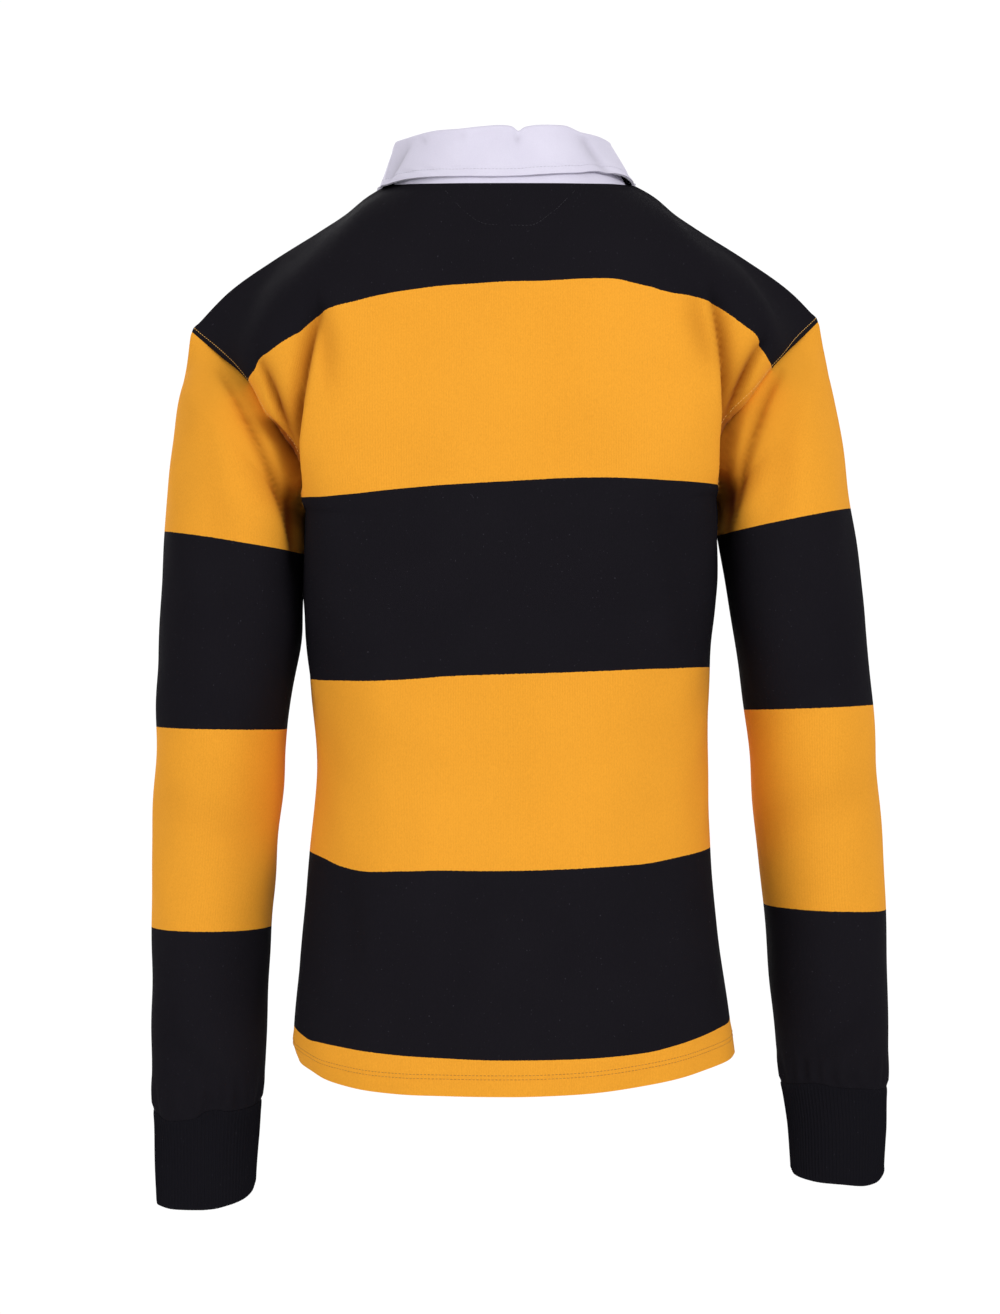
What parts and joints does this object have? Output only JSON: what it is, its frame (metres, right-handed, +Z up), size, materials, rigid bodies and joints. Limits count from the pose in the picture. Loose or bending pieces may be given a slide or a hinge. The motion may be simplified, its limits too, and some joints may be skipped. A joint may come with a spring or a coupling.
{
  "type": "rugby shirt",
  "caption": "Long-sleeved rugby shirt in black and gold hoops, filled out as worn, with a white fold-over collar, buttoned placket and ribbed cuffs.",
  "frame": {"origin": "between the two points where the shoulder seams meet the neck, where the wearer's shoulders hold the shirt up", "axes": "+Z up along the trunk, -Y the way the wearer faces, +X the wearer's left"},
  "size_m": [0.5802, 0.2758, 0.8362],
  "materials": {
    "hooped_jersey": "matt cotton jersey in black and gold hoops",
    "black_rib": "matt ribbed knit",
    "white_twill": "matt cotton twill",
    "white_rubber": "satin"
  },
  "bodies": {
    "root": {"back_panel": "hooped_jersey", "front_panel": "hooped_jersey", "sleeve_left": "hooped_jersey", "sleeve_right": "hooped_jersey", "cuff_left": "black_rib", "cuff_right": "black_rib", "collar": "white_twill", "placket_outer": "white_twill", "placket_under": "white_twill", "button_1": "white_rubber", "button_2": "white_rubber", "button_3": "white_rubber"}
  },
  "joints": []
}
